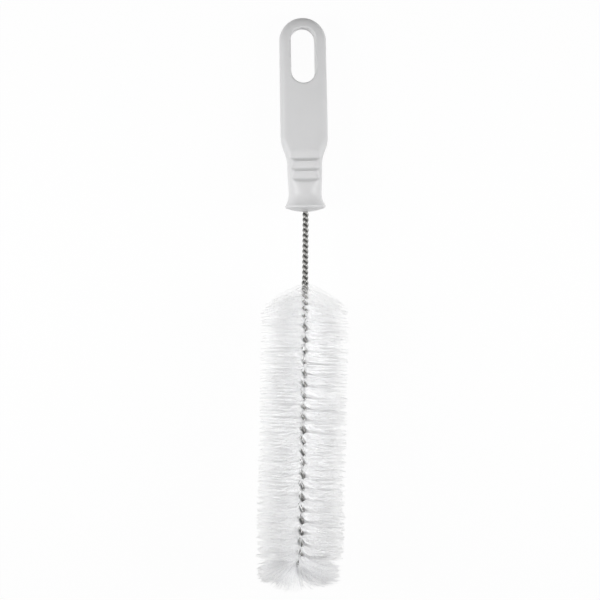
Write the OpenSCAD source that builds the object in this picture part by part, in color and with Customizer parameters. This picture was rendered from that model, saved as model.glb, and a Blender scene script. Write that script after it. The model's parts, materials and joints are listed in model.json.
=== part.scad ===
// Bottle brush. A moulded plastic handle holds a core of two twisted steel
// wires, and the wires grip the nylon bristles between them.
// Millimetres. The brush lies as it comes to rest, on the shoulder of its
// bristles and the end of its handle: +Z is up, the handle points to +Y, and
// the origin is on the table, under the middle of the brush.

/* [Handle] */
// Length of the handle, from its domed mouth to its rounded end
handle_l = 118.4; // [108:0.2:130]
// Width of the grip at its shoulder
grip_w = 29; // [27:0.1:32]
// Width of the grip where its rounded end begins
grip_end_w = 28.5; // [26:0.1:31]
// Thickness of the grip
grip_t = 12; // [10:0.1:14]
// Squareness of the grip's section, where 2 is an ellipse
grip_square = 3; // [2:0.1:4]
// Height of the shoulder's lower edge above the mouth
shoulder_y = 29; // [27:0.5:34]
// Length of the shoulder, from the neck's width to the grip's
shoulder_l = 16; // [12:0.5:22]
// Width of the neck below the shoulder
waist_w = 21.2; // [20:0.1:23]
// Width of the neck at its narrowest, above the collar
neck_w = 20.3; // [18:0.1:22]
// Height above the mouth at which the round neck begins to flatten
flatten_y = 12; // [10:0.5:18]
// Length over which the neck flattens into the grip
flatten_l = 46; // [36:0.5:50]
// Diameter of the collar's rim
collar_d = 24.7; // [23.5:0.1:28]
// Radius of the flare from the neck out to the collar
flare_r = 13.5; // [8:0.5:18]
// Radius of the collar's rounded rim
rim_r = 1.2; // [0.6:0.1:2]
// Height of the dome that closes the collar
dome_h = 2; // [1:0.1:3]

/* [Hanging slot] */
// Width of the hanging slot
slot_w = 14.8; // [10:0.1:16]
// Length of the hanging slot over its round ends
slot_l = 33.6; // [20:0.2:40]
// Plastic left between the slot and the handle's end
slot_margin = 6.4; // [5:0.1:9]
// Radius of the slot's rounded edges
slot_edge_r = 1; // [0.5:0.1:1.5]

/* [Grip notches] */
// Number of thumb notches across each face of the neck
notch_count = 3; // [1:1:3]
// Height of the lowest notch's step above the mouth
notch_y = 19.7; // [18:0.1:22]
// Distance from one notch to the next
notch_pitch = 6.3; // [5.5:0.1:7]
// Depth of a notch at its step
notch_depth = 1.9; // [0.8:0.1:2.5]
// Length of a notch's hollow, from its step to where it runs out
notch_l = 5.6; // [4:0.1:6]
// Slope of a notch's step away from square to the face, in degrees
notch_draft = 40; // [10:1:50]

/* [Wire] */
// Diameter of each of the two wires
wire_d = 1.85; // [1.4:0.05:2.2]
// Play between the two wires, and around them in the socket
wire_play = 0.06; // [0.04:0.01:0.1]
// Depth of the wire in the handle
socket_l = 35; // [25:0.5:45]
// Length of bare wire between the handle and the bristles
stem_l = 44.4; // [30:0.2:80]
// Length of one full twist of the bare wire
stem_pitch = 6.43; // [5.5:0.01:9]
// Length of one full twist where the wires hold bristles
head_pitch = 13.72; // [12:0.01:18]
// Length of tightly twisted wire within the bristles
tight_l = 4.9; // [0:0.1:10]
// Length over which the twist opens from the one to the other
twist_change_l = 19.6; // [10:0.2:40]
// Turn of the twist at the socket's bottom, in degrees
twist_start = 79; // [-180:1:180]

/* [Bends] */
// Lean of the handle from the line of the brush, in degrees
handle_lean = 1; // [0:0.1:3]
// Lean of the bare wire the other way, in degrees
stem_lean = 0.35; // [0:0.05:2]
// Slow bow of the wire along the bristles, in degrees
head_bow = 1.3; // [0:0.1:4]
// Sharp bend of the wire's last stretch, in degrees
tip_bend = 32; // [0:1:40]
// Length of the wire within that bend
tip_bend_l = 5; // [4:0.5:12]
// Length of straight wire after the bend
tip_l = 4; // [3:0.5:8]

/* [Bristles] */
// Length of wire that carries bristles
head_l = 174.4; // [120:0.2:240]
// Length of a bristle from the wire's middle to its tip
bristle_l = 27; // [20:0.1:36]
// Tufts in one full twist; an odd number sets each row in its neighbours' gaps
tufts_per_turn = 31; // [21:2:31]
// Thickness of a tuft where the wires pinch it
tuft_nip = 0.34; // [0.28:0.02:0.5]
// Play between a tuft and each wire
tuft_play = 0.13; // [0.11:0.01:0.16]
// Width of a tuft at its tips, around the brush
tuft_tip_w = 2.1; // [0.8:0.1:2.3]
// Width of a tuft at its tips, along the brush
tuft_tip_l = 2; // [1:0.1:2.4]
// Wander of a tuft's tip along the brush, as a share of half a twist
tuft_wander = 0.27; // [0:0.01:0.27]
// Reach of the first bristles past their roots, down the brush
shoulder_sweep = 13.5; // [0:0.5:15]
// Length of wire over which the bristles straighten
shoulder_sweep_l = 30; // [30:1:60]
// Reach of the last bristles past their roots, before they are trimmed
end_sweep = 25; // [0:0.5:25.5]
// Length of wire over which the last bristles fan out
end_sweep_l = 14; // [8:1:30]
// Distance from the wire's end to the tips of the last bristles
end_reach = 15; // [10:0.5:22]
// Length over which the trimmed shape rounds off towards its end
end_round_l = 18; // [14:0.5:30]

/* [Hidden] */

// Goes from 0 to 1 as t does, with level ends
function ease(t) = let (c = min(max(t, 0), 1)) c * c * (3 - 2 * c);

// ---- the handle's outline, by height above the mouth ----
collar_r = collar_d / 2;
dome_edge_r = collar_r - rim_r;
dome_r = (dome_edge_r ^ 2 + dome_h ^ 2) / (2 * dome_h);
rim_y = dome_h + rim_r;
flare_x = neck_w / 2 + flare_r;
flare_y = rim_y + sqrt((flare_r + rim_r) ^ 2 - (flare_x - dome_edge_r) ^ 2);
flare_angle = atan2(flare_y - rim_y, flare_x - dome_edge_r);
shoulder_end_y = shoulder_y + shoulder_l;
flatten_end_y = flatten_y + flatten_l;
end_y = handle_l - grip_end_w / 2;

section_sides = 32;
dome_rings = 2;
rim_rings = 4;
flare_rings = 4;
neck_rings = 14;
end_rings = 7;

// A ring of the handle: [height, half width, half thickness, squareness]
function round_ring(y, r) = [y, r, r, 2];

function neck_ring(y) =
    let (
        neck_r = neck_w / 2 + (waist_w - neck_w) / 2 * ease((y - flare_y) / (shoulder_y - flare_y)),
        shoulder = (grip_w - waist_w) / 2 * ease((y - shoulder_y) / shoulder_l),
        taper = (grip_w - grip_end_w) / 2 * ease((y - shoulder_end_y) / (end_y - shoulder_end_y)),
        flat = ease((y - flatten_y) / flatten_l),
        squared = ease((y - flare_y) / (notch_y - flare_y))
    )
    [y, neck_r + shoulder - taper, neck_r + (grip_t / 2 - neck_r) * flat, 2 + (grip_square - 2) * squared];

function end_ring(a) =
    let (r = grip_end_w / 2)
    [end_y + r * sin(a), r * cos(a), grip_t / 2 * (1 - sin(a) ^ grip_square) ^ (1 / grip_square), grip_square];

handle_rings = concat(
    [for (i = [1 : dome_rings])
        let (r = dome_edge_r * i / (dome_rings + 1))
        round_ring(dome_r - sqrt(dome_r ^ 2 - r ^ 2), r)],
    [for (i = [0 : rim_rings - 1])
        let (a = -90 + (90 + flare_angle) * i / rim_rings)
        round_ring(rim_y + rim_r * sin(a), dome_edge_r + rim_r * cos(a))],
    [for (i = [0 : flare_rings - 1])
        let (a = flare_angle * (1 - i / flare_rings))
        round_ring(flare_y - flare_r * sin(a), flare_x - flare_r * cos(a))],
    [for (i = [0 : neck_rings]) neck_ring(flare_y + (flatten_end_y - flare_y) * i / neck_rings)],
    [for (i = [0 : end_rings - 1]) end_ring(90 * i / end_rings)]
);

function power(c, n) = sign(c) * abs(c) ^ (2 / n);

function ring_points(ring) =
    [for (i = [0 : section_sides - 1])
        let (a = 360 * i / section_sides)
        [ring[1] * power(cos(a), ring[3]), ring[0], ring[2] * power(sin(a), ring[3])]];

// A closed skin over rings of points, with a point at each end; each four-cornered
// face is split along its shorter diagonal
module skin(first, rings, last) {
    n = len(rings[0]);
    m = len(rings);
    points = concat([first], [for (r = rings) for (p = r) p], [last]);
    faces = concat(
        [for (i = [0 : n - 1]) [0, 1 + (i + 1) % n, 1 + i]],
        [for (k = [0 : m - 2]) for (i = [0 : n - 1])
            let (a = 1 + k * n + i, b = 1 + k * n + (i + 1) % n, c = b + n, d = a + n)
            each norm(points[a] - points[c]) < norm(points[b] - points[d])
                ? [[a, b, c], [a, c, d]]
                : [[a, b, d], [b, c, d]]],
        [for (i = [0 : n - 1]) [1 + m * n, 1 + (m - 1) * n + i, 1 + (m - 1) * n + (i + 1) % n]]
    );
    polyhedron(points, faces, convexity = 10);
}

// ---- the route of the wire's middle, from the socket's bottom to its cut end ----
tip_bend_u = socket_l + stem_l + head_l - tip_bend_l - tip_l;
wire_l = socket_l + stem_l + head_l;
exit_bend_l = 8;
// Arcs of the route: [length, turn towards -X]
route = [
    [socket_l, 0],
    [exit_bend_l, handle_lean + stem_lean],
    [tip_bend_u - socket_l - exit_bend_l, head_bow],
    [tip_bend_l, tip_bend],
    [tip_l, 0]
];

function arc_step(h, l, turn) =
    let (chord = abs(turn) < 0.001 ? l : 360 / PI * l / turn * sin(turn / 2))
    chord * [-sin(h + turn / 2), -cos(h + turn / 2)];

// Place and heading of the wire's middle at a distance u from its inner end
function spine(u, i = 0, place = socket_l * [-sin(handle_lean), cos(handle_lean)], h = -handle_lean) =
    let (l = route[i][0], turn = route[i][1])
    u <= l || i == len(route) - 1
        ? [place + arc_step(h, u, turn * u / l), h + turn * u / l]
        : spine(u - l, i + 1, place + arc_step(h, l, turn), h + turn);

head_u = socket_l + stem_l;
open_u = head_u + tight_l;

// Turn of the two wires about their middle, in degrees; a left-hand twist
function twist(u) =
    let (v = u - open_u, c = min(max(v, 0), twist_change_l))
    twist_start - 360 * (u / stem_pitch
        + (1 / head_pitch - 1 / stem_pitch) * (c ^ 2 / twist_change_l / 2 + max(v - c, 0)));

function twist_rate(u) =
    let (c = min(max((u - open_u) / twist_change_l, 0), 1))
    -2 * PI * (1 / stem_pitch + (1 / head_pitch - 1 / stem_pitch) * c);

spread_l = 5;
// Distance of each wire's middle from the core's middle
function spread(u) =
    let (parted = tuft_nip + 2 * tuft_play - wire_play)
    (wire_d + wire_play + parted * ease((u - head_u + spread_l) / spread_l)) / 2;

wire_sides = 6;
rings_per_turn = 8;
half_open_u = open_u + twist_change_l / 2;
ring_steps = concat(
    [for (u = [0 : stem_pitch / rings_per_turn : half_open_u]) u],
    [for (u = [half_open_u + stem_pitch / rings_per_turn : head_pitch / rings_per_turn : wire_l - 0.5]) u],
    [wire_l]
);

// The ring of one wire's surface at u; side is 0 or 180
function wire_ring(u, side) =
    let (
        s = spine(u),
        a = twist(u) + side,
        ahead = [-sin(s[1]), -cos(s[1]), 0],
        across = [cos(s[1]), -sin(s[1]), 0],
        out = cos(a) * across + [0, 0, sin(a)],
        round = cos(a) * [0, 0, 1] - sin(a) * across,
        r = spread(u),
        t = ahead + r * twist_rate(u) * round,
        along = t / norm(t),
        level = cross(out, along)
    )
    [for (i = [0 : wire_sides - 1])
        let (b = 360 * (i + 0.5) / wire_sides)
        [s[0].x, s[0].y, 0] + r * out + wire_d / 2 * (cos(b) * out + sin(b) * level)];

function middle(ring) = [for (k = [0 : 2]) let (v = [for (p = ring) p[k]]) (v * [for (p = ring) 1]) / len(ring)];

// ---- the tufts: each passes between the wires and reaches out on both sides ----
knee_r = 2.6;
trim_variation = 0.5;
turn_variation = 0.5;
staggered_room = 1.5;
tuft_step = head_pitch / tufts_per_turn;
tuft_count = floor((head_l - 0.5) / tuft_step);
length_chance = rands(-1, 1, 2 * tuft_count, 11);
wander_chance = rands(-1, 1, 2 * tuft_count, 12);
turn_chance = rands(-1, 1, tuft_count, 13);

function tuft_u(i) = head_u + 0.25 + i * tuft_step;

// How far a tuft's tip lies past its root, down the brush
function top_share(u) = max(1 - (u - head_u) / shoulder_sweep_l, 0);
function end_share(u) = max(1 - (wire_l - u) / end_sweep_l, 0);
function sweep(u) = shoulder_sweep * top_share(u) + end_sweep * end_share(u) ^ 2;

// The tips' spacing along the brush, as a share of their roots' spacing
function tip_stretch(u) =
    1 - (top_share(u) > 0 ? shoulder_sweep / shoulder_sweep_l : 0) + 2 * end_sweep / end_sweep_l * end_share(u);

// Room that half a twist leaves for a tuft's tip, along the brush
function tip_room(u) = PI / abs(twist_rate(u)) * tip_stretch(u) * (top_share(u) > 0 ? 1 : staggered_room);

function place_at(u) = let (p = spine(u)[0]) [p.x, p.y, 0];

// The middle of the head at u, which runs straight on where the wire's tip bends away
function core_at(u, ahead) =
    let (p = place_at(min(u, tip_bend_u)))
    p + ahead * ((place_at(u) - p) * ahead);

// Distance from p, in direction d, to the ball of radius 1 round the origin
function to_ball(p, d) = (sqrt((p * d) ^ 2 - (d * d) * (p * p - 1)) - p * d) / (d * d);

// One side of tuft i: root, direction out, direction ahead, lean, length and
// length of its tip's section; side is 1 or -1
function tuft(i, side) =
    let (
        u = tuft_u(i),
        s = spine(u),
        h = spine(min(u, tip_bend_u))[1],
        ahead = [-sin(h), -cos(h), 0],
        a = twist(u) + 90 + turn_variation * turn_chance[i],
        out = side * (cos(a) * [cos(h), -sin(h), 0] + [0, 0, sin(a)]),
        k = 2 * i + (side + 1) / 2,
        wander = tuft_wander * wander_chance[k] * tip_room(u),
        lean = asin(min((sweep(u) + wander) / bristle_l, 0.95)),
        root = place_at(u),
        // The trimmed shape is a cylinder with a rounded end, scaled here to a radius of 1
        aside = (root - core_at(u, ahead)) / bristle_l,
        past = (root - place_at(wire_l)) * ahead + end_round_l - end_reach,
        outward = cos(lean) / bristle_l * out,
        to_side = to_ball(aside, outward),
        to_trim = past + to_side * sin(lean) < 0
            ? to_side
            : to_ball(aside + past / end_round_l * ahead, outward + sin(lean) / end_round_l * ahead),
        l = min(bristle_l, to_trim) + trim_variation * length_chance[k]
    )
    [root, out, ahead, lean, l, min(tuft_tip_l * max(tip_stretch(u), 1), 0.4 * tip_room(u)) * l / bristle_l];

// A three-sided section of a tuft
function tuft_section(place, across, along, w, l) =
    [place - w / 2 * across - l / 2 * along, place + w / 2 * across - l / 2 * along, place + l / 2 * along];

function knee_section(t) =
    tuft_section(t[0] + knee_r * t[1], cross(t[1], t[2]), t[2], tuft_nip, 0.5 * tuft_step);

function tip_section(t) =
    let (
        along = cos(t[3]) * t[1] + sin(t[3]) * t[2],
        square = cos(t[3]) * t[2] - sin(t[3]) * t[1],
        place = t[0] + knee_r * t[1] + (t[4] - knee_r) * along
    )
    tuft_section(place, cross(t[1], t[2]), square, tuft_tip_w, t[5]);

module bundle(p, q) {
    // The far side is listed mirrored, so that both sides' corners correspond
    function mirrored(section) = [section[1], section[0], section[2]];
    sections = [mirrored(tip_section(q)), mirrored(knee_section(q)), knee_section(p), tip_section(p)];
    polyhedron(
        [for (s = sections) each s],
        concat(
            [[2, 1, 0], [9, 10, 11]],
            [for (k = [0 : 2]) for (j = [0 : 2])
                let (a = 3 * k + j, b = 3 * k + (j + 1) % 3)
                each [[a, b, b + 3], [a, b + 3, a + 3]]]
        )
    );
}

// ---- how the brush comes to rest ----
tip_corners = [for (i = [0 : tuft_count - 1]) for (side = [-1, 1]) each tip_section(tuft(i, side))];
slot_end_y = handle_l - slot_margin;
// Underside of the bar beyond the slot, seen from the side
bar = [for (i = [0 : end_rings * 4 - 1])
    let (r = end_ring(90 * i / end_rings / 4))
    if (r[0] > slot_end_y + slot_edge_r) [r[0] * cos(handle_lean), -r[2]]];
// Steepest line that passes under every tip and under the bar
rest_tilt = atan(max([for (t = tip_corners) min([for (b = bar) (b[1] - t.z) / (b[0] - t.y)])]));

module lay_down() {
    c = cos(rest_tilt);
    s = sin(rest_tilt);
    xs = [for (t = tip_corners) t.x];
    ys = [for (t = tip_corners) t.y * c + t.z * s];
    zs = [for (t = tip_corners) t.z * c - t.y * s];
    translate([-(min(xs) + max(xs)) / 2, -(min(ys) + handle_l * c) / 2, -min(zs)])
        rotate([-rest_tilt, 0, 0])
            children();
}

// ---- cuts in the handle ----
slot_r = slot_w / 2;
slot_bottom_y = slot_end_y - slot_l;
// Height of the grip's face beside the slot
slot_face_z = grip_t / 2 * (1 - (slot_w / grip_w) ^ grip_square) ^ (1 / grip_square);
slot_reach = 3;

module slot_half_profile() {
    arc = [for (a = [0 : 10 : 70])
        [slot_r + slot_edge_r * (1 - cos(a)), slot_face_z - slot_edge_r * (1 - sin(a))]];
    last = arc[len(arc) - 1] + slot_reach * [sin(70), cos(70)];
    side = concat(arc, [last]);
    polygon(concat(
        [[0, -last.y]],
        [for (i = [len(side) - 1 : -1 : 0]) [side[i].x, -side[i].y]],
        side,
        [[0, last.y]]
    ));
}

module slot_cut() {
    for (y = [slot_bottom_y + slot_r, slot_end_y - slot_r])
        translate([0, y, 0])
            rotate_extrude($fn = 64)
                slot_half_profile();
    translate([0, slot_end_y - slot_r, 0])
        rotate([90, 0, 0])
            linear_extrude(slot_l - slot_w) {
                slot_half_profile();
                mirror([1, 0])
                    slot_half_profile();
            }
}

// The hollow above a notch's step, cut right across the face
module notch_cut(y) {
    face = neck_ring(y)[2];
    clear = 4;
    rotate([90, 0, 90])
        linear_extrude(waist_w, center = true)
            polygon(concat(
                [[y - (notch_depth + clear) * tan(notch_draft), face + clear]],
                [for (t = [0 : 0.25 : 1])
                    [y + notch_l * t, face - notch_depth + notch_depth * t ^ 2]],
                [[y + notch_l + clear, face + clear + notch_depth]]
            ));
}

module handle() {
    color([0.93, 0.93, 0.94])
        lay_down()
            rotate([0, 0, handle_lean])
                difference() {
                    skin([0, 0, 0], [for (r = handle_rings) ring_points(r)], [0, handle_l, 0]);
                    slot_cut();
                    for (i = [0 : notch_count - 1]) {
                        notch_cut(notch_y + i * notch_pitch);
                        mirror([0, 0, 1])
                            notch_cut(notch_y + i * notch_pitch);
                    }
                    translate([0, socket_l + wire_d / 2, 0])
                        rotate([90, 0, 0])
                            cylinder(h = socket_l + wire_d, d = 2 * wire_d + 3 * wire_play, $fn = 48);
                }
}

module wire_strand(side) {
    rings = [for (u = ring_steps) wire_ring(u, side)];
    color([0.55, 0.55, 0.56])
        lay_down()
            skin(middle(rings[0]), rings, middle(rings[len(rings) - 1]));
}

module wire_strand_a() {
    wire_strand(0);
}

module wire_strand_b() {
    wire_strand(180);
}

module bristles() {
    color([0.95, 0.95, 0.97])
        lay_down()
            for (i = [0 : tuft_count - 1])
                bundle(tuft(i, 1), tuft(i, -1));
}

handle();
wire_strand_a();
wire_strand_b();
bristles();
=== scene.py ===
import json
import math
import bpy
import numpy as np
from mathutils import Matrix, Vector


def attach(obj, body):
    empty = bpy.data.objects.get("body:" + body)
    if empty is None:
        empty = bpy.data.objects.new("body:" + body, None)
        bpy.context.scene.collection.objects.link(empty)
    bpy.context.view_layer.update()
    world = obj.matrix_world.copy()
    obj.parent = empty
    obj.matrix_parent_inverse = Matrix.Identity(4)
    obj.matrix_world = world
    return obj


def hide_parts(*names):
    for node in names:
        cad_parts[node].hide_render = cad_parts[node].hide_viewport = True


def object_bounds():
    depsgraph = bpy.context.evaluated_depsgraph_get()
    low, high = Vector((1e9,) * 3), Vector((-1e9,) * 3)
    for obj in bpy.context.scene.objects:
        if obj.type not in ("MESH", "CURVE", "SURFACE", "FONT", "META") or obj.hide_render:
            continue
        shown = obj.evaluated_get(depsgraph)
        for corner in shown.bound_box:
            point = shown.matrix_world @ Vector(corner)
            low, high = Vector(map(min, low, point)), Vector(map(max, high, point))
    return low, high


# Bottle brush: a moulded handle, a core of two twisted wires and the filaments that they grip.
# Metres. The frame's four nodes are the handle, the two strands and the bristles.
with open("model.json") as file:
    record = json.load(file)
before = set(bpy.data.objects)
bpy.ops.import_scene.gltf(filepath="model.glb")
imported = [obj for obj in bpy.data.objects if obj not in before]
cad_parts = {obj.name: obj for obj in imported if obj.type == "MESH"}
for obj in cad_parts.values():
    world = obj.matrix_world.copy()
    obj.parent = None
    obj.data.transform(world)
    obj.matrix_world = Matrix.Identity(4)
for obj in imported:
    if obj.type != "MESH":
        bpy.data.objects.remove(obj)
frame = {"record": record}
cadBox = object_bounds()
print("frame loaded")


def ease(t):
    c = np.clip(t, 0, 1)
    return c * c * (3 - 2 * c)


def ramp(value, start, width):
    # from 0 at the start to 1 a width further on, smooth at both ends
    return ease((value - start) / width)


def softMin(a, b, width):
    overlap = np.maximum(width - np.abs(a - b), 0) / width
    return np.minimum(a, b) - overlap ** 2 * width / 4


def unit(vectors):
    return vectors / np.linalg.norm(vectors, axis=-1)[..., None]


def addObject(name, data):
    made = bpy.data.objects.new(name, data)
    bpy.context.scene.collection.objects.link(made)
    return made


def addPiece(name, mesh, material, node):
    mesh.materials.append(material)
    piece = addObject(name, mesh)
    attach(piece, "root")
    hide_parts(node)
    return piece


def smoothMesh(name, points, faces):
    # faces is a list of integer arrays, one for each number of corners
    mesh = bpy.data.meshes.new(name)
    corners = np.concatenate([f.ravel() for f in faces])
    sizes = np.concatenate([np.full(len(f), f.shape[1]) for f in faces])
    mesh.vertices.add(len(points))
    mesh.vertices.foreach_set("co", points.astype(np.float32).ravel())
    mesh.loops.add(len(corners))
    mesh.loops.foreach_set("vertex_index", corners.astype(np.int32))
    mesh.polygons.add(len(sizes))
    mesh.polygons.foreach_set("loop_start", (np.cumsum(sizes) - sizes).astype(np.int32))
    mesh.polygons.foreach_set("use_smooth", np.ones(len(sizes), bool))
    mesh.update(calc_edges=True)
    mesh.validate()
    return mesh


def gridFaces(rings, sides):
    ring, side = np.meshgrid(np.arange(rings - 1), np.arange(sides), indexing="ij")
    a = ring * sides + side
    b = ring * sides + (side + 1) % sides
    return np.stack([a, b, b + sides, a + sides], axis=-1).reshape(-1, 4)


def skinFaces(rings, sides):
    # a closed skin: the rings' points first, then one point at each end
    side = np.arange(sides)
    first, last = rings * sides, rings * sides + 1
    start = np.stack([np.full(sides, first), (side + 1) % sides, side], axis=-1)
    base = (rings - 1) * sides
    end = np.stack([np.full(sides, last), base + side, base + (side + 1) % sides], axis=-1)
    return [gridFaces(rings, sides), np.concatenate([start, end])]


# Materials: a patchy mask takes colour and roughness between two values each.
def newGroup(name, inputs, outputs):
    group = bpy.data.node_groups.new(name, "ShaderNodeTree")
    for label, kind, value in inputs:
        socket = group.interface.new_socket(label, in_out="INPUT", socket_type=kind)
        if value is not None:
            socket.default_value = value
    for label, kind in outputs:
        group.interface.new_socket(label, in_out="OUTPUT", socket_type=kind)
    return group, group.nodes.new("NodeGroupInput"), group.nodes.new("NodeGroupOutput")


def patchyGroup():
    # two noises, one broad and one fine, as a mask from 0 to 1
    group, start, end = newGroup(
        "patchyMask",
        [("Place", "NodeSocketVector", None), ("Broad Scale", "NodeSocketFloat", 60.0),
         ("Fine Scale", "NodeSocketFloat", 900.0), ("Fine Share", "NodeSocketFloat", 0.4)],
        [("Mask", "NodeSocketFloat"), ("Grain", "NodeSocketFloat")])
    nodes, links = group.nodes, group.links
    noises = []
    for scale, detail in (("Broad Scale", 3), ("Fine Scale", 2)):
        noise = nodes.new("ShaderNodeTexNoise")
        noise.inputs["Detail"].default_value = detail
        links.new(start.outputs["Place"], noise.inputs["Vector"])
        links.new(start.outputs[scale], noise.inputs["Scale"])
        noises.append(noise.outputs["Fac"])
    both = nodes.new("ShaderNodeMix")
    links.new(start.outputs["Fine Share"], both.inputs["Factor"])
    links.new(noises[0], both.inputs["A"])
    links.new(noises[1], both.inputs["B"])
    links.new(both.outputs["Result"], end.inputs["Mask"])
    links.new(noises[1], end.inputs["Grain"])
    return group


patchyMask = patchyGroup()


def newMaterial(name):
    material = bpy.data.materials.new(name)
    material.use_nodes = True
    nodes = material.node_tree.nodes
    return material, nodes, material.node_tree.links, nodes["Principled BSDF"]


def addPatches(nodes, links, scales):
    node = nodes.new("ShaderNodeGroup")
    node.node_tree = patchyMask
    for label, value in zip(("Broad Scale", "Fine Scale", "Fine Share"), scales):
        node.inputs[label].default_value = value
    links.new(nodes.new("ShaderNodeTexCoord").outputs["Object"], node.inputs["Place"])
    return node


def ranged(nodes, links, value, low, high):
    # stretches the middle of a noise over the whole range
    node = nodes.new("ShaderNodeMapRange")
    for label, number in (("From Min", 0.3), ("From Max", 0.7), ("To Min", low), ("To Max", high)):
        node.inputs[label].default_value = number
    links.new(value, node.inputs["Value"])
    return node.outputs["Result"]


def addColours(nodes, links, shader, look, tone, mask):
    mix = nodes.new("ShaderNodeMix")
    mix.data_type = "RGBA"
    mix.inputs["A"].default_value = (*look["dark"], 1)
    mix.inputs["B"].default_value = (*look["light"], 1)
    links.new(ranged(nodes, links, tone, 0, 1), mix.inputs["Factor"])
    links.new(mix.outputs["Result"], shader.inputs["Base Color"])
    links.new(ranged(nodes, links, mask, *look["roughness"]), shader.inputs["Roughness"])


def addGrain(nodes, links, shader, height, look):
    bump = nodes.new("ShaderNodeBump")
    bump.inputs["Strength"].default_value = look["grain"]
    bump.inputs["Distance"].default_value = look["grainHeight"]
    links.new(height, bump.inputs["Height"])
    links.new(bump.outputs["Normal"], shader.inputs["Normal"])


# The handle, in the brush's own frame: origin at its mouth, +Y up the handle, +Z out of its face.
handle = {
    "length": 0.1184,
    "gripWidth": 0.029,
    "gripEndWidth": 0.0285,
    "gripThickness": 0.012,
    "gripSquareness": 3.0,  # 2 is an ellipse, and more is squarer
    "shoulderY": 0.029,
    "shoulderLength": 0.016,
    "waistWidth": 0.0212,
    "neckWidth": 0.0203,
    "flattenY": 0.012,  # where the round neck starts to flatten
    "flattenLength": 0.046,
    "collarDiameter": 0.0247,
    "flareRadius": 0.0135,
    "rimRadius": 0.0012,
    "domeHeight": 0.002,
    "mouthRounding": 0.0003,
    "slotWidth": 0.0148,
    "slotLength": 0.0336,
    "slotMargin": 0.0064,  # between the slot and the grip's end
    "slotEdgeRadius": 0.0012,
    "slotLip": math.radians(4),  # how far the lips stop short of the face's own slope
    "slotPoints": (41, 17),  # round each end and along each side
    "notchCount": 3,
    "notchY": 0.0197,
    "notchPitch": 0.0063,
    "notchDepth": 0.0019,
    "notchLength": 0.0056,
    "notchDraft": math.radians(46),
    "notchRounding": 0.0008,
    "notchReach": 0.003,  # below the first notch
    "lean": math.radians(1),  # against the brush's own Y
    "endTrim": 0.00013,  # keeps the tilted end inside the frame's box
    # how fine the mesh is
    "quarterSides": 34,
    "socketRings": 12,
    "domeRings": 22,
    "rimRings": 18,
    "flareRings": 24,
    "neckStep": 0.0005,
    "notchStep": 0.0002,
    "notchedY": (0.0165, 0.002),  # close rings from here to this far past the notches
    "gripRings": 125,
    "endRings": 46,
    "lastEndAngle": 88.5,  # degrees
}

plastic = {
    "dark": (0.655, 0.655, 0.660),
    "light": (0.685, 0.685, 0.689),
    "patches": (45, 2600, 0.3),  # broad scale, fine scale and the fine one's share
    "roughness": (0.38, 0.47),
    "grain": 0.05,
    "grainHeight": 0.0002,
    "ior": 1.49,
}

slotMount = frame["record"]["mounts"][0]
slotAxis = Vector(slotMount["axis"]).normalized()
layTurn = Matrix.Rotation(-math.atan2(slotAxis.y, slotAxis.z), 4, "X")
slotMiddleY = handle["length"] - handle["slotMargin"] - handle["slotLength"] / 2
leanX, leanY = -math.sin(handle["lean"]), math.cos(handle["lean"])
slotMiddle = Vector((leanX * slotMiddleY, leanY * slotMiddleY, 0))
layDown = Matrix.Translation(Vector(slotMount["pos_m"]) - layTurn @ slotMiddle) @ layTurn  # to rest

collarRadius = handle["collarDiameter"] / 2
domeEdge = collarRadius - handle["rimRadius"]
domeRadius = (domeEdge ** 2 + handle["domeHeight"] ** 2) / (2 * handle["domeHeight"])
rimY = handle["domeHeight"] + handle["rimRadius"]
flareX = handle["neckWidth"] / 2 + handle["flareRadius"]
bothRadii = handle["flareRadius"] + handle["rimRadius"]
flareY = rimY + math.sqrt(bothRadii ** 2 - (flareX - domeEdge) ** 2)
flareAngle = math.atan2(flareY - rimY, flareX - domeEdge)
gripEndY = handle["length"] - handle["gripEndWidth"] / 2


def toRest(points):
    m = np.array(layDown)
    return points @ m[:3, :3].T + m[:3, 3]


def handlePlastic():
    material, nodes, links, shader = newMaterial("satinWhitePlastic")
    patches = addPatches(nodes, links, plastic["patches"])
    addColours(nodes, links, shader, plastic, patches.outputs["Mask"], patches.outputs["Mask"])
    addGrain(nodes, links, shader, patches.outputs["Grain"], plastic)
    shader.inputs["IOR"].default_value = plastic["ior"]
    return material


def neckSection(y):
    # half width, half thickness and squareness of the handle above its collar
    s = handle
    shoulderEnd = s["shoulderY"] + s["shoulderLength"]
    waist = (s["waistWidth"] - s["neckWidth"]) / 2 * ramp(y, flareY, s["shoulderY"] - flareY)
    neck = s["neckWidth"] / 2 + waist
    shoulder = (s["gripWidth"] - s["waistWidth"]) / 2 * ramp(y, s["shoulderY"], s["shoulderLength"])
    taper = (s["gripWidth"] - s["gripEndWidth"]) / 2 * ramp(y, shoulderEnd, gripEndY - shoulderEnd)
    flat = ramp(y, s["flattenY"], s["flattenLength"])
    squared = ramp(y, flareY, s["notchY"] - flareY)
    past = np.clip((y - gripEndY) / (s["gripEndWidth"] / 2), 0, 1)  # how far into the rounded end
    width = (neck + shoulder - taper) * np.sqrt(1 - past ** 2)
    thickness = neck + (s["gripThickness"] / 2 - neck) * flat
    thickness = thickness * (1 - past ** s["gripSquareness"]) ** (1 / s["gripSquareness"])
    return width, thickness, 2 + (s["gripSquareness"] - 2) * squared


def faceHeight(x, y):
    # height of the handle's face over its middle plane
    width, thickness, square = neckSection(y)
    return thickness * np.maximum(1 - np.abs(x / width) ** square, 0) ** (1 / square)


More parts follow.
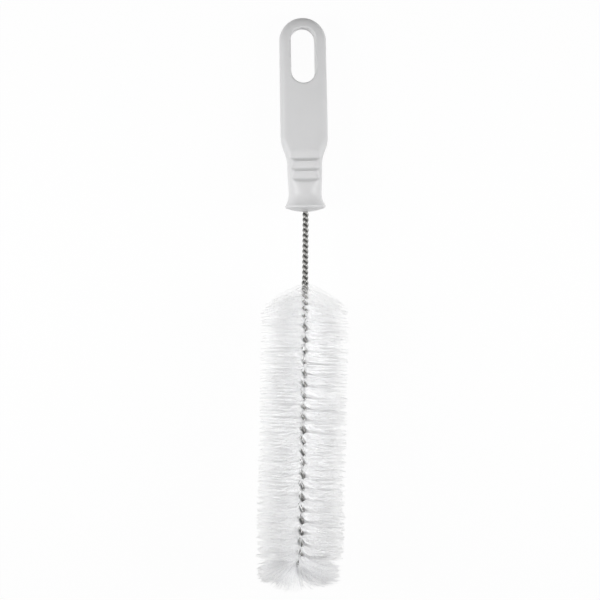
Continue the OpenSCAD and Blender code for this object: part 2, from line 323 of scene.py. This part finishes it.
def notchFloor(y):
    # height that the thumb notches leave, over the whole neck
    floor = np.ones_like(y)
    for k in range(handle["notchCount"]):
        step = handle["notchY"] + k * handle["notchPitch"]
        low = neckSection(np.array([step]))[1][0] - handle["notchDepth"]
        wall = low + (step - y) / math.tan(handle["notchDraft"])
        hollow = low + handle["notchDepth"] * (np.maximum(y - step, 0) / handle["notchLength"]) ** 2
        floor = np.minimum(floor, -softMin(-wall, -hollow, handle["notchRounding"]))
    return floor


def domeHeightAt(radius):
    return domeRadius - math.sqrt(domeRadius ** 2 - radius ** 2)


def handleRings():
    # height, half width, half thickness and squareness, from the socket's bottom to the grip's end
    s = handle
    rounding, rim, flare = s["mouthRounding"], s["rimRadius"], s["flareRadius"]
    circles = []  # height and radius, as far as the handle is round
    mouthRadius = socketRadius + rounding
    mouthY = domeHeightAt(mouthRadius) + rounding
    for y in np.linspace(socketBottomY, mouthY, s["socketRings"]):
        circles.append((y, socketRadius))
    for a in np.radians([30, 60, 90]):
        circles.append((mouthY - rounding * math.sin(a), mouthRadius - rounding * math.cos(a)))
    for r in np.linspace(mouthRadius, domeEdge, s["domeRings"])[1:-1]:
        circles.append((domeHeightAt(r), r))
    for a in np.linspace(-math.pi / 2, flareAngle, s["rimRings"])[:-1]:
        circles.append((rimY + rim * math.sin(a), domeEdge + rim * math.cos(a)))
    for a in np.linspace(flareAngle, 0, s["flareRings"])[:-1]:
        circles.append((flareY - flare * math.sin(a), flareX - flare * math.cos(a)))
    closeFrom, closePast = s["notchedY"]
    closeTo = s["notchY"] + s["notchCount"] * s["notchPitch"] + closePast
    heights = np.concatenate([np.arange(flareY, closeFrom, s["neckStep"]),
                              np.arange(closeFrom, closeTo, s["notchStep"]),
                              np.linspace(closeTo, gripEndY, s["gripRings"])[:-1]])
    endShare = np.sin(np.radians(np.linspace(0, s["lastEndAngle"], s["endRings"])))
    roundEnd = gripEndY + s["gripEndWidth"] / 2 * endShare
    return np.concatenate([
        [(y, r, r, 2) for y, r in circles],
        np.column_stack([heights, *neckSection(heights)]),
        np.column_stack([roundEnd - s["endTrim"] * endShare, *neckSection(roundEnd)])])


def evenSections(rings):
    # each ring's points lie evenly along its outline, quarter by quarter
    q = handle["quarterSides"]
    t = np.linspace(0, math.pi / 2, 500)
    points = np.zeros((len(rings), 4 * q, 3))
    for row, (y, width, thickness, square) in enumerate(rings):
        x = width * np.cos(t) ** (2 / square)
        z = thickness * np.sin(t) ** (2 / square)
        x[-1] = 0
        along = np.concatenate([[0], np.cumsum(np.hypot(np.diff(x), np.diff(z)))])
        at = np.linspace(0, along[-1], q + 1)
        qx, qz = np.interp(at, along, x), np.interp(at, along, z)
        points[row, :, 0] = np.concatenate([qx[:-1], -qx[:0:-1], -qx[:-1], qx[:0:-1]])
        points[row, :, 2] = np.concatenate([qz[:-1], qz[:0:-1], -qz[:-1], -qz[:0:-1]])
        points[row, :, 1] = y
    return points


def slotCutter():
    # a plug whose flared lips meet the handle's curved faces nearly level
    s = handle
    r, edge = s["slotWidth"] / 2, s["slotEdgeRadius"]
    low = slotMiddleY - s["slotLength"] / 2 + r
    high = slotMiddleY + s["slotLength"] / 2 - r
    arc = np.radians(np.linspace(0, 180, s["slotPoints"][0]))
    side = np.linspace(low, high, s["slotPoints"][1])[1:-1]
    arcOut = np.stack([np.cos(arc), np.sin(arc)], axis=-1)
    sideOut = np.tile([1.0, 0.0], (len(side), 1))
    outward = np.concatenate([arcOut, -sideOut, -arcOut, sideOut])
    middleY = np.concatenate([np.full(len(arc), high), side[::-1], np.full(len(arc), low), side])
    place = np.column_stack([np.zeros(len(middleY)), middleY]) + r * outward
    # the slope of the face, from two places close together
    apart = 0.0002
    reach = place + edge * outward
    ahead = reach + apart * outward
    top = faceHeight(reach[:, 0], reach[:, 1])
    fall = np.arctan2(top - faceHeight(ahead[:, 0], ahead[:, 1]), apart)
    lastTurn = math.pi / 2 + fall - s["slotLip"]
    centre = top - edge * np.sin(lastTurn)
    offsets, heights = [], []
    for share in np.linspace(0, 1, 9):
        turn = lastTurn * share
        offsets.append(edge * (1 - np.cos(turn)))
        heights.append(centre + edge * np.sin(turn))
    clear, cap = 0.0025, 0.004  # how far the lips run on, and the plug's pointed ends
    offsets.append(offsets[-1] + clear * np.sin(lastTurn))
    heights.append(heights[-1] + clear * np.cos(lastTurn))
    offsets = offsets[::-1] + offsets
    heights = [-h for h in heights[::-1]] + heights
    rings = [np.column_stack([place + offset[:, None] * outward, height])
             for offset, height in zip(offsets, heights)]
    ends = [[0, slotMiddleY, heights[0].min() - cap], [0, slotMiddleY, heights[-1].max() + cap]]
    return np.concatenate([*rings, ends]), skinFaces(len(rings), len(place))


def closedSolid(name, points, faces):
    mesh = bpy.data.meshes.new(name)
    mesh.from_pydata(points.tolist(), [], [f.tolist() for block in faces for f in block])
    mesh.update()
    made = addObject(name, mesh)
    bpy.context.view_layer.objects.active = made
    bpy.ops.object.mode_set(mode="EDIT")
    bpy.ops.mesh.select_all(action="SELECT")
    bpy.ops.mesh.normals_make_consistent(inside=False)
    bpy.ops.object.mode_set(mode="OBJECT")
    return made


def buildHandle():
    points = evenSections(handleRings())
    y, z = points[..., 1], points[..., 2]
    # the notches cut the faces, and not the socket or the handle's sides
    halfWidth = np.abs(points[..., 0]).max(axis=1)[:, None]
    onFace = (halfWidth >= socketRadius * 1.5) & (np.abs(z) > 0.002)
    onFace = onFace & (y > handle["notchY"] - handle["notchReach"])
    cut = np.sign(z) * softMin(np.abs(z), notchFloor(y), handle["notchRounding"])
    points[..., 2] = np.where(onFace, cut, z)
    ends = [[0, socketBottomY, 0], [0, handle["length"] - handle["endTrim"], 0]]
    rings, sides = points.shape[:2]
    skin = np.concatenate([points.reshape(-1, 3), ends])
    body = closedSolid("handleBody", skin, skinFaces(rings, sides))
    plug = closedSolid("slotPlug", *slotCutter())
    cutting = body.modifiers.new("slot", "BOOLEAN")
    cutting.object = plug
    cutting.operation = "DIFFERENCE"
    cutting.solver = "EXACT"
    bpy.context.view_layer.update()
    cutBody = body.evaluated_get(bpy.context.evaluated_depsgraph_get())
    mesh = bpy.data.meshes.new_from_object(cutBody)
    for made in (body, plug):
        bpy.data.objects.remove(made)
    mesh.name = "handle_moulding"
    mesh.transform(layDown @ Matrix.Rotation(handle["lean"], 4, "Z"))
    mesh.polygons.foreach_set("use_smooth", np.ones(len(mesh.polygons), bool))
    mesh.materials.clear()
    addPiece("handle_moulding", mesh, handlePlastic(), "handle")
    print("handle:", len(mesh.polygons), "faces")


# The two wires: u is the distance along the core from its inner end, in the handle's socket.
wire = {
    "diameter": 0.00185,
    "play": 0.00006,  # between the two strands
    "socketLength": 0.035,
    "stemLength": 0.0444,
    "headLength": 0.1744,
    "stemPitch": 0.00643,
    "headPitch": 0.01372,
    "tightLength": 0.0049,  # of the head, where the stem's pitch goes on
    "openingLength": 0.0196,  # over which the pitch changes
    "startTurn": math.radians(79),
    "exitBendLength": 0.008,
    "stemLean": math.radians(0.35),
    "headBow": math.radians(1.3),
    "tipBend": math.radians(32),
    "tipBendLength": 0.005,
    "tipLength": 0.004,
    "spreadLength": 0.005,
    "parting": 0.00054,  # how far the bristles hold the two strands apart
    "sides": 18,
    "ringStep": 0.00028,
    "burr": 0.00008,  # the softened edge of the cut ends
}

steel = {
    "dark": (0.170, 0.168, 0.161),
    "light": (0.308, 0.305, 0.296),
    "patches": (700, 5200, 0.45),
    "roughness": (0.34, 0.52),
    "grain": 0.15,
    "grainHeight": 0.0001,
}

# the socket in the handle goes round both strands
socketRadius = wire["diameter"] + 1.5 * wire["play"]
socketBottomY = wire["socketLength"] + wire["diameter"] / 2

headU = wire["socketLength"] + wire["stemLength"]
openU = headU + wire["tightLength"]
wireLength = wire["socketLength"] + wire["stemLength"] + wire["headLength"]
tipBendU = wireLength - wire["tipBendLength"] - wire["tipLength"]
route = [  # length and turn of each part of the core
    (wire["socketLength"], 0),
    (wire["exitBendLength"], handle["lean"] + wire["stemLean"]),
    (tipBendU - wire["socketLength"] - wire["exitBendLength"], wire["headBow"]),
    (wire["tipBendLength"], wire["tipBend"]),
    (wire["tipLength"], 0),
]


def wireSteel():
    material, nodes, links, shader = newMaterial("galvanisedWire")
    patches = addPatches(nodes, links, steel["patches"])
    addColours(nodes, links, shader, steel, patches.outputs["Mask"], patches.outputs["Mask"])
    addGrain(nodes, links, shader, patches.outputs["Grain"], steel)
    shader.inputs["Metallic"].default_value = 1
    return material


def spineAt(u):
    # place and heading of the core's middle
    heading = np.full(len(u), -handle["lean"])
    place = np.zeros((len(u), 3))
    place[:, :2] = wire["socketLength"] * np.array([leanX, leanY])
    done, startHeading = 0, -handle["lean"]
    for length, turn in route:
        part = np.clip(u - done, 0, length)
        turned = turn * part / length
        chord = part * np.sinc(turned / 2 / math.pi)
        place[:, 0] -= chord * np.sin(startHeading + turned / 2)
        place[:, 1] -= chord * np.cos(startHeading + turned / 2)
        heading += turned
        done += length
        startHeading += turn
    return place, heading


def twistAt(u):
    # angle of the first strand round the core: the twist is left-handed and opens over the head
    past = u - openU
    opening = np.clip(past, 0, wire["openingLength"])
    change = 1 / wire["headPitch"] - 1 / wire["stemPitch"]
    opened = opening ** 2 / wire["openingLength"] / 2 + np.maximum(past - opening, 0)
    return wire["startTurn"] - 2 * math.pi * (u / wire["stemPitch"] + change * opened)


def twistRateAt(u):
    share = np.clip((u - openU) / wire["openingLength"], 0, 1)
    change = 1 / wire["headPitch"] - 1 / wire["stemPitch"]
    return -2 * math.pi * (1 / wire["stemPitch"] + change * share)


def axesAt(heading):
    ahead = np.stack([-np.sin(heading), -np.cos(heading), np.zeros(len(heading))], axis=-1)
    across = np.stack([np.cos(heading), -np.sin(heading), np.zeros(len(heading))], axis=-1)
    return ahead, across, np.tile([0.0, 0.0, 1.0], (len(heading), 1))


def wayAt(turn, across, up):
    # direction at an angle round the core
    return np.cos(turn)[:, None] * across + np.sin(turn)[:, None] * up


def buildWires(material):
    burr = wire["burr"]
    between = np.arange(burr, wireLength - burr, wire["ringStep"])
    u = np.concatenate([[0], between, [wireLength - burr, wireLength]])
    place, heading = spineAt(u)
    ahead, across, up = axesAt(heading)
    parting = wire["parting"] * ease((u - headU + wire["spreadLength"]) / wire["spreadLength"])
    spread = (wire["diameter"] + wire["play"] + parting) / 2
    radius = np.full(len(u), wire["diameter"] / 2)
    radius[[0, -1]] -= burr
    around = 2 * math.pi * np.arange(wire["sides"]) / wire["sides"]
    ringOut, ringLevel = np.cos(around)[None, :, None], np.sin(around)[None, :, None]
    strands = [("wire_strand_left", "wire_strand_a", 0.0),
               ("wire_strand_right", "wire_strand_b", math.pi)]
    for name, node, side in strands:
        turn = twistAt(u) + side
        out = wayAt(turn, across, up)
        along = unit(ahead + (spread * twistRateAt(u))[:, None] * wayAt(turn, up, -across))
        middle = place + spread[:, None] * out
        ring = ringOut * out[:, None] + ringLevel * np.cross(out, along)[:, None]
        points = middle[:, None] + radius[:, None, None] * ring
        points = np.concatenate([points.reshape(-1, 3), middle[[0, -1]]])
        mesh = smoothMesh(name, toRest(points), skinFaces(len(u), wire["sides"]))
        addPiece(name, mesh, material, node)
        print(name + ":", len(mesh.polygons), "faces")


# The bristles: filaments that pass between the strands and leave the core on both sides.
bristle = {
    "count": 8600,
    "thickness": 0.00021,
    "length": 0.027,  # from the core's middle out
    "pieces": 5,
    "seed": 7,
    "corners": (0, 0.05, 0.11, 0.20, 0.40, 0.72, 1.0),  # where they lie along each half
    # where they leave the core
    "margins": (0.0003, 0.0012),  # bare wire before the first one and after the last one
    "sparseLength": 0.022,  # the first filaments stand apart
    "sparseShare": 0.05,
    "endCrowd": 2.6,
    "crowdSteps": 2000,
    "nip": 0.00028,
    "ownTurn": 0.02,  # radians
    "facePart": math.radians(1),  # those that stand straight up part to both sides
    "facePartEdge": 0.05,
    "facePartReach": 0.35,
    "clumpLength": 0.00044,
    # how they head off
    "splayStart": (0.0009, 0.0014),  # at the sides of the core and over it
    "splayLength": 0.0012,
    "splay": (-0.0034, 0.0039),  # how far they part along the core soon after they leave it
    "shoulderSplayLoss": 0.4,
    "overCore": (0.1, 0.5),  # which ones stand up over the core
    "overCoreShare": (0.6, 0.25),  # at the head's start, and more of it towards the end
    "faceGather": 0.30,  # those over the core keep together in bundles
    "clumpWander": 0.0005,
    "clumpWanderLimit": 1.7,
    "ownWander": 0.0006,
    "clumpAside": 0.0006,
    "ownAside": 0.0006,
    "curl": 0.06,
    "curlShares": (0.6, 0.8),  # by clump and by filament
    "leanFrom": (0.0012, 0.004),
    "curlFrom": 0.006,
    "steepest": 0.95,
    # the shoulder at the handle's end
    "shoulderSweep": 0.0135,
    "shoulderSweepLength": 0.022,
    "shoulderCurl": 0.20,
    "faceSweepLoss": 0.65,
    "faceFrom": (0.6, 0.35),
    # the wires' very end holds the filaments loosely, so that they part in strands and fan out
    "endLength": 0.009,
    "endStrands": 6,
    "endLoose": (0.95, 0.28),  # by strand and by filament
    "endLooseFrom": (0.4, 0.45),
    "endSweep": 0.022,  # over and under the core; at the right the filaments shift instead
    "endSweepRange": (0.7, 1.15),
    "endRight": (0.32, 0.5),
    "endLevel": 0.0085,
    "endShiftLength": 0.006,
    "endApart": 5,
    "endHold": 0.6,
    "endStep": 0.30,
    "endPaintedShade": 1.4,  # painted shade: the shorter strands towards the wires' end are coloured darker, standing in for the shade there
    # the trimmed shape
    "endReach": 0.0163,  # how far the fan goes past the wires
    "endRoundLength": 0.016,
    "overTrim": 0.0004,  # the most that one stands out of the trimmed shape
    "lengthVariation": 0.0004,
    "lengthBias": -0.3,
    "shortShare": 0.08,
    "shortest": 0.80,
    # filaments meet in small locks towards their ends
    "lock": (0.0019, 0.0050),  # spacing along and round the head
    "lockTable": (97, 89),
    "lockJitter": (0.1, 0.9),
    "lockRowJitter": (0.3, 0.7),  # a lock's own share and its row's
    "lockPull": 0.8,
    "lockStart": 0.45,
    "lockShortening": 0.0020,
    "notchDepth": 0.0044,  # rows of locks that end short, over a part of the way round
    "notchShare": 0.45,
    "notchParts": 7,
    "steps": 61,
    "stepsReach": 1.25,
}

nylon = {
    "dark": (0.815, 0.818, 0.836),
    "light": (0.970, 0.971, 0.977),
    "patches": (90, 700, 0.3),
    "roughness": (0.35, 0.55),
    "filamentShare": 0.75,  # how much of the tone goes by filament, and not by patch
    "lockTone": 0.7,
    "ownTone": 0.3,
    "ior": 1.53,
    "scatter": 0.0006,
    "lightPassed": 0.93,  # share of a lamp's light that goes on through each surface of a filament
}


def bristleNylon():
    material, nodes, links, shader = newMaterial("whiteNylon")
    patches = addPatches(nodes, links, nylon["patches"])
    # the filament's tone: random by lock and filament, with painted shade on the short strands at
    # the wires' end
    shade = nodes.new("ShaderNodeAttribute")
    shade.attribute_name = "filamentShade"
    tone = nodes.new("ShaderNodeMix")
    tone.inputs["Factor"].default_value = nylon["filamentShare"]
    links.new(patches.outputs["Mask"], tone.inputs["A"])
    links.new(shade.outputs["Fac"], tone.inputs["B"])
    addColours(nodes, links, shader, nylon, tone.outputs["Result"], patches.outputs["Mask"])
    shader.inputs["IOR"].default_value = nylon["ior"]
    shader.inputs["Subsurface Weight"].default_value = 1
    shader.inputs["Subsurface Radius"].default_value = (1, 1, 1)
    shader.inputs["Subsurface Scale"].default_value = nylon["scatter"]
    clear = nodes.new("ShaderNodeBsdfTransparent")
    clear.inputs["Color"].default_value = (*[nylon["lightPassed"]] * 3, 1)
    mix = nodes.new("ShaderNodeMixShader")
    links.new(nodes.new("ShaderNodeLightPath").outputs["Is Shadow Ray"], mix.inputs["Fac"])
    links.new(shader.outputs[0], mix.inputs[1])
    links.new(clear.outputs[0], mix.inputs[2])
    links.new(mix.outputs[0], nodes["Material Output"].inputs["Surface"])
    return material


def stepped(slopes, step):
    # how far each filament has come at every step
    start = np.zeros((len(slopes), 1))
    return np.concatenate([start, np.cumsum(slopes[:, :-1], axis=1)], axis=1) * step


def halfFilaments(u, side, chance):
    # corners of the half of every filament that leaves the core on one side, and how dark its
    # colour is: each lock's random tone, plus painted shade on the shorter strands at the wires'
    # end
    s = bristle
    count = len(u)
    row = np.arange(count)
    place, _ = spineAt(u)
    endPlace, _ = spineAt(np.array([wireLength]))
    bendPlace, heading = spineAt(np.minimum(u, tipBendU))
    ahead, across, up = axesAt(heading)
    topShare = np.clip(1 - (u - headU) / s["shoulderSweepLength"], 0, 1)
    endShare = np.clip(1 - (wireLength - u) / s["endLength"], 0, 1)
    clump = np.floor((u - headU) / s["clumpLength"]).astype(int)

    turn = twistAt(u) + side * math.pi / 2 + chance.normal(0, s["ownTurn"], count)
    offFace = (turn + math.pi / 2) % (2 * math.pi) - math.pi  # angle from straight up
    pushed = s["facePart"] * np.tanh(offFace / s["facePartEdge"])
    turn = turn + pushed * np.exp(-(offFace / s["facePartReach"]) ** 2)
    strand = clump * s["endStrands"] + chance.integers(0, s["endStrands"], count)

    def byClump(draw, *limits):
        return draw(*limits, clump.max() + 1)[clump]

    def byStrand(draw, *limits):
        return draw(*limits, strand.max() + 1)[strand]

    loose = (s["endLoose"][0] * byStrand(chance.normal, 0, 1)
             + s["endLoose"][1] * chance.normal(0, 1, count))
    turn = turn + ramp(endShare, *s["endLooseFrom"]) * loose
    out = wayAt(turn, across, up)
    aside = np.cross(out, ahead)

    # how each filament heads off
    room = np.pi / np.abs(twistRateAt(u)) / (wire["headPitch"] / 2)  # less where the twist is tight
    rightwards = ramp(out[:, 0], *s["endRight"])
    endSweep = s["endSweep"] * byStrand(chance.uniform, *s["endSweepRange"])
    straighter = 1 - s["faceSweepLoss"] * ramp(out[:, 2], *s["faceFrom"])  # over the core
    sweep = (s["shoulderSweep"] * topShare * straighter
             + endSweep * endShare ** 1.5 * (1 - rightwards))
    overCore = ramp(out[:, 2], *s["overCore"]) * (1 - endShare) ** 2
    start, more = s["overCoreShare"]
    overCore = overCore * (start + more * ramp(u, headU, wire["headLength"]))
    gathered = s["faceGather"] * overCore
    clearing = 1 - overCore * (1 - np.abs(np.sin(offFace)))  # they part where they clear the wires
    limit = s["clumpWanderLimit"]
    wander = room * (s["clumpWander"] * byClump(chance.uniform, -limit, limit)
                     + s["ownWander"] * chance.normal(0, 1, count)) * (1 - gathered)
    splay = room * ((1 - gathered) * chance.uniform(*s["splay"], count)
                    + gathered * byClump(chance.uniform, *s["splay"]))
    splay = splay * (1 - s["shoulderSplayLoss"] * topShare)
    splayStart = s["splayStart"][0] + (s["splayStart"][1] - s["splayStart"][0]) * overCore
    lean = np.arcsin(np.clip((sweep + wander) / s["length"], -s["steepest"], s["steepest"]))
    apart = 1 + s["endApart"] * endShare * (1 - rightwards)
    drift = (apart * s["clumpAside"] * byClump(chance.normal, 0, 1)
             + (1 - s["endHold"] * endShare) * s["ownAside"] * chance.normal(0, 1, count))
    curl = s["curl"] * (s["curlShares"][0] * byClump(chance.normal, 0, 1)
                        + s["curlShares"][1] * chance.normal(0, 1, count))
    curl = curl + s["shoulderCurl"] * topShare * straighter

    # the way that it takes, in short steps
    steps = np.linspace(0, s["stepsReach"] * s["length"], s["steps"])
    step, last = steps[1], len(steps) - 1
    t = steps[None, :]
    angle = lean[:, None] * ramp(t, *s["leanFrom"])
    angle = angle + curl[:, None] * (t / s["length"] - 0.5) * 2 * ease(t / s["curlFrom"])
    outPart, aheadPart = stepped(np.cos(angle), step), stepped(np.sin(angle), step)
    clear = np.maximum(t * clearing[:, None] - splayStart[:, None], 0)
    aheadPart += splay[:, None] * (1 - np.exp(-clear / s["splayLength"]))
    shift = (s["endLevel"] + wireLength - u) * chance.uniform(0, 1, count) ** 0.7
    shift = shift * endShare ** 0.7 * rightwards
    aheadPart += shift[:, None] * (1 - np.exp(-t / s["endShiftLength"]))
    asidePart = drift[:, None] * (t / s["length"]) ** 1.4

    # the trimmed shape: a cylinder round the head's middle, with a rounded end
    offCore = place - bendPlace
    offCore = offCore - np.sum(offCore * ahead, axis=1)[:, None] * ahead
    radial = (offCore[:, None] + outPart[..., None] * out[:, None]
              + asidePart[..., None] * aside[:, None])
    past = np.sum((place - endPlace) * ahead, axis=1)[:, None] + aheadPart
    past = np.maximum(past + s["endRoundLength"] - s["endReach"], 0)
    reach = np.sum(radial ** 2, axis=2) / s["length"] ** 2 + (past / s["endRoundLength"]) ** 2
    over = np.argmax(reach > 1, axis=1)
    over = np.where(reach[:, -1] > 1, np.maximum(over, 1), last)
    before, after = reach[row, over - 1], reach[row, over]
    length = steps[over - 1] + step * np.clip((1 - before) / np.maximum(after - before, 1e-9), 0, 1)
    uneven = s["lengthVariation"] * chance.normal(s["lengthBias"], 1, count)
    length = np.minimum(length, s["length"]) + np.minimum(uneven, s["overTrim"])
    short = chance.uniform(0, 1, count) < s["shortShare"]
    length = np.where(short, length * chance.uniform(s["shortest"], 1, count), length)

    # the locks that the ends meet in
    tip = np.minimum((length / step).astype(int), last)
    tipAhead, tipAround = u + aheadPart[row, tip], s["length"] * turn + asidePart[row, tip]
    lockRow = np.floor(tipAhead / s["lock"][0]).astype(int)
    stagger = 0.5 * (lockRow % 2)
    lockColumn = np.floor(tipAround / s["lock"][1] + stagger).astype(int)
    rows, columns = s["lockTable"]
    tableRow = lockRow % rows
    jitter = chance.uniform(*s["lockJitter"], (3, rows, columns))[:, tableRow, lockColumn % columns]
    ownShare, rowShare = s["lockRowJitter"]
    jitter[0] = ownShare * jitter[0] + rowShare * chance.uniform(*s["lockJitter"], rows)[tableRow]
    notchPart = np.floor(tipAround / s["length"]).astype(int) % s["notchParts"]
    notch = chance.uniform(0, 1, (rows, s["notchParts"]))[tableRow, notchPart]
    length = length - s["lockShortening"] * (jitter[2] - s["lockJitter"][0]) ** 2
    length = length - s["notchDepth"] * ease((notch - 1) / s["notchShare"] + 1)
    strandShare = byStrand(chance.uniform, 0, 1)
    length = length * (1 - s["endStep"] * endShare * strandShare ** 1.5)
    pullAhead = (lockRow + jitter[0]) * s["lock"][0] - tipAhead
    pullAround = (lockColumn - stagger + jitter[1]) * s["lock"][1] - tipAround
    pulled = s["lockPull"] * ramp(t / length[:, None], s["lockStart"], 1 - s["lockStart"])
    aheadPart = aheadPart + pulled * pullAhead[:, None]
    asidePart = asidePart + pulled * pullAround[:, None]

    at = length[:, None] * np.array(s["corners"])[None, :] / step
    low = np.minimum(at.astype(int), last - 1)
    part = at - low

    def along(values, way):
        value = values[row[:, None], low] * (1 - part) + values[row[:, None], low + 1] * part
        return value[..., None] * way[:, None]

    points = (place[:, None] + along(outPart, out)
              + along(aheadPart, ahead) + along(asidePart, aside))
    # painted shade: towards the wires' end the shorter strands get a darker colour, on top of the
    # lock's random tone
    return points, jitter[1] + s["endPaintedShade"] * endShare * strandShare


def filamentTubes(lines, chance):
    # three-sided tubes round the filaments' lines, closed at both ends
    count, corners = lines.shape[:2]
    tangent = unit(np.gradient(lines, axis=1))
    reference = unit(np.cross(tangent[:, corners // 2], [0.0, 1.0, 0.0]))[:, None]
    first = unit(reference - np.sum(reference * tangent, axis=2)[..., None] * tangent)
    second = np.cross(tangent, first)
    spin = chance.uniform(0, 2 * math.pi, count)[:, None] + 2 * math.pi / 3 * np.arange(3)
    ring = (np.cos(spin)[:, None, :, None] * first[:, :, None]
            + np.sin(spin)[:, None, :, None] * second[:, :, None])
    points = lines[:, :, None] + bristle["thickness"] / 2 * ring
    tube = gridFaces(corners, 3)
    caps = np.array([[2, 1, 0], [3 * corners - 3, 3 * corners - 2, 3 * corners - 1]])
    start = 3 * corners * np.arange(count)[:, None, None]
    return points.reshape(-1, 3), [(tube + start).reshape(-1, 4), (caps + start).reshape(-1, 3)]


def buildBristles(material):
    s = bristle
    chance = np.random.default_rng(s["seed"])
    u = np.linspace(headU + s["margins"][0], wireLength - s["margins"][1], s["crowdSteps"])
    crowd = s["sparseShare"] + (1 - s["sparseShare"]) * ramp(u, headU, s["sparseLength"])
    crowd = np.cumsum(crowd + s["endCrowd"] * ease((u - wireLength) / s["endLength"] + 1))
    u = np.interp(np.linspace(crowd[0], crowd[-1], s["count"]), crowd, u)
    nip = chance.uniform(-0.5, 0.5, s["count"]) * s["nip"]
    _, heading = spineAt(u)
    _, across, up = axesAt(heading)
    acrossNip = wayAt(twistAt(u), across, up) * nip[:, None]
    one, oneDark = halfFilaments(u, 1, chance)
    other, otherDark = halfFilaments(u, -1, chance)
    lines = toRest(np.concatenate([other[:, :0:-1], one], axis=1) + acrossNip[:, None])
    room = s["thickness"] / 2
    lines = np.clip(lines, np.array(cadBox[0]) + room, np.array(cadBox[1]) - room)
    dark = np.stack([otherDark, oneDark], axis=1) * nylon["lockTone"]
    dark = dark + chance.uniform(0, nylon["ownTone"], (s["count"], 1))
    corners = len(s["corners"])
    shade = np.repeat(1 - dark ** 2, [corners - 1, corners], axis=1)  # only a few locks are dark; the painted shade of the end strands is carried here too
    for number, block in enumerate(np.array_split(np.arange(s["count"]), s["pieces"]), 1):
        name = f"bristle_section_{number}"
        points, faces = filamentTubes(lines[block], chance)
        mesh = smoothMesh(name, points, faces)
        layer = mesh.attributes.new("filamentShade", "FLOAT", "POINT")
        layer.data.foreach_set("value", np.repeat(shade[block], 3).astype(np.float32))
        addPiece(name, mesh, material, "bristles")
        print(name + ":", len(faces[0]) * 2 + len(faces[1]), "triangles")


buildHandle()
buildWires(wireSteel())
buildBristles(bristleNylon())

# Floor, light and camera.
stage = {
    "floorSize": 6.0,
    "floorColour": (0.80, 0.80, 0.80),
    "floorRoughness": 0.9,
    "whiteShare": 0.965,  # of what is seen of the floor; the rest shows the shadow
    "worldLevel": 0.05,
    "lampSpread": math.radians(110),
    "lamps": [
        # name, place, aim, size and watts
        ("leftPanel", (-0.48, 0.0, 0.31), (0, 0.0, 0.02), 0.35, 1.12),
        ("rightPanel", (0.48, -0.01, 0.31), (0, -0.01, 0.02), 0.35, 1.05),
        ("farPanel", (0, 0.52, 0.66), (0, 0, 0), 0.40, 0.36),
    ],
}


def seenAsBackground(nodes, links):
    # 1 for rays that see the floor or the world: from the camera, mirrored or through something
    path = nodes.new("ShaderNodeLightPath")
    total = path.outputs["Is Camera Ray"]
    for name in ("Is Glossy Ray", "Is Transmission Ray"):
        add = nodes.new("ShaderNodeMath")
        add.operation = "MAXIMUM"
        links.new(total, add.inputs[0])
        links.new(path.outputs[name], add.inputs[1])
        total = add.outputs[0]
    return total


def buildFloor():
    half = stage["floorSize"] / 2
    corners = [(-half, -half, 0), (half, -half, 0), (half, half, 0), (-half, half, 0)]
    mesh = bpy.data.meshes.new("floor")
    mesh.from_pydata(corners, [], [(0, 1, 2, 3)])
    floor = addObject("floor", mesh)
    material, nodes, links, shader = newMaterial("paleFloor")
    shader.inputs["Base Color"].default_value = (*stage["floorColour"], 1)
    shader.inputs["Roughness"].default_value = stage["floorRoughness"]
    share = nodes.new("ShaderNodeMath")
    share.operation = "MULTIPLY"
    share.inputs[1].default_value = stage["whiteShare"]
    links.new(seenAsBackground(nodes, links), share.inputs[0])
    mix = nodes.new("ShaderNodeMixShader")
    links.new(share.outputs[0], mix.inputs["Fac"])
    links.new(shader.outputs[0], mix.inputs[1])
    links.new(nodes.new("ShaderNodeEmission").outputs[0], mix.inputs[2])
    links.new(mix.outputs[0], nodes["Material Output"].inputs["Surface"])
    mesh.materials.append(material)


def buildWorld():
    # a little light from all round; white where it is seen
    world = bpy.data.worlds.new("studio")
    bpy.context.scene.world = world
    world.use_nodes = True
    nodes, links = world.node_tree.nodes, world.node_tree.links
    background = nodes["Background"]
    background.inputs["Color"].default_value = (1, 1, 1, 1)
    level = nodes.new("ShaderNodeMix")
    links.new(seenAsBackground(nodes, links), level.inputs["Factor"])
    level.inputs["A"].default_value = stage["worldLevel"]
    level.inputs["B"].default_value = 1
    links.new(level.outputs["Result"], background.inputs["Strength"])


def buildLamps():
    for name, place, aim, size, watts in stage["lamps"]:
        data = bpy.data.lights.new(name, "AREA")
        data.shape = "RECTANGLE"
        data.size = data.size_y = size
        data.spread = stage["lampSpread"]
        data.energy = watts
        lamp = addObject(name, data)
        lamp.location = place
        lamp.rotation_mode = "QUATERNION"
        lamp.rotation_quaternion = (Vector(aim) - Vector(place)).to_track_quat("-Z", "Y")


camera = {
    "distance": 1.2,
    "span": 0.3666,  # width of the view at the brush
    "middle": (-0.00336, -0.0539, 0),
    "turn": math.radians(-3.5),
    "sensor": 36,
    "clip": (0.05, 20),
}


def buildCamera():
    data = bpy.data.cameras.new("camera")
    data.sensor_width = camera["sensor"]
    data.lens = data.sensor_width * camera["distance"] / camera["span"]
    data.clip_start, data.clip_end = camera["clip"]
    made = addObject("camera", data)
    aimed = layDown @ Matrix.Translation(camera["middle"]) @ Matrix.Rotation(camera["turn"], 4, "Y")
    made.matrix_world = aimed @ Matrix.Translation((0, 0, camera["distance"]))
    bpy.context.scene.camera = made


buildFloor()
buildWorld()
buildLamps()
buildCamera()
bpy.context.scene.view_settings.view_transform = "Standard"
print("stage set")
